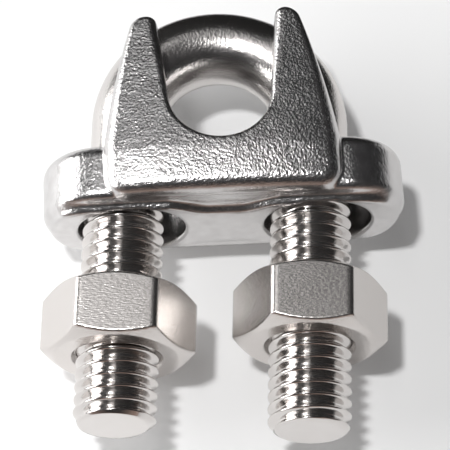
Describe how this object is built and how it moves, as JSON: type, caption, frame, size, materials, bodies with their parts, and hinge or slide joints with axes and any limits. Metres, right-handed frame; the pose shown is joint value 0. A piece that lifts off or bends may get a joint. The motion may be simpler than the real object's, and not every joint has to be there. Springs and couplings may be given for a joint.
{
  "type": "wire rope clip",
  "caption": "Wire rope clip: a U-bolt with threaded legs, a cast saddle with a horned rope seat, and hex nuts run down loose on the legs.",
  "frame": {"origin": "centre of the rope seat in the saddle, half way through the saddle's depth", "axes": "+Z along the rope seat, towards the viewer when the clip lies on its back; +Y up through the seat between the two horns, towards the bow; +X to the right, from one ear of the saddle to the other"},
  "size_m": [0.036, 0.0455, 0.0152],
  "materials": {
    "saddle_steel": "investment cast stainless steel, tumbled to a fine bright grain",
    "bolt_steel": "polished stainless steel with rolled threads",
    "nut_steel": "machined stainless steel with a fine brushed grain"
  },
  "bodies": {
    "saddle_body": {"saddle": "saddle_steel"},
    "u_bolt_body": {"u_bolt": "bolt_steel"},
    "nut_left_body": {"nut_left": "nut_steel"},
    "nut_right_body": {"nut_right": "nut_steel"}
  },
  "joints": [
    {"name": "nut_left_spin", "type": "hinge", "parent": "saddle_body", "child": "nut_left_body", "pos_m": [-0.01066, -0.02131, 0], "axis": [0.0698, 0.9976, 0], "range_deg": [-1801, 1801]},
    {"name": "nut_right_spin", "type": "hinge", "parent": "saddle_body", "child": "nut_right_body", "pos_m": [0.0077, -0.02099, 0], "axis": [0.0698, 0.9976, 0], "range_deg": [-1801, 1801]},
    {"name": "u_bolt_slide", "type": "slide", "parent": "saddle_body", "child": "u_bolt_body", "axis": [0.0698, 0.9976, 0], "range_m": [-0.00625, 0.00625]}
  ],
  "couplings": [
    {"joint": "nut_left_spin", "follows": "u_bolt_slide", "rad_per_m": -5026.6},
    {"joint": "nut_right_spin", "follows": "u_bolt_slide", "rad_per_m": -5026.6}
  ]
}
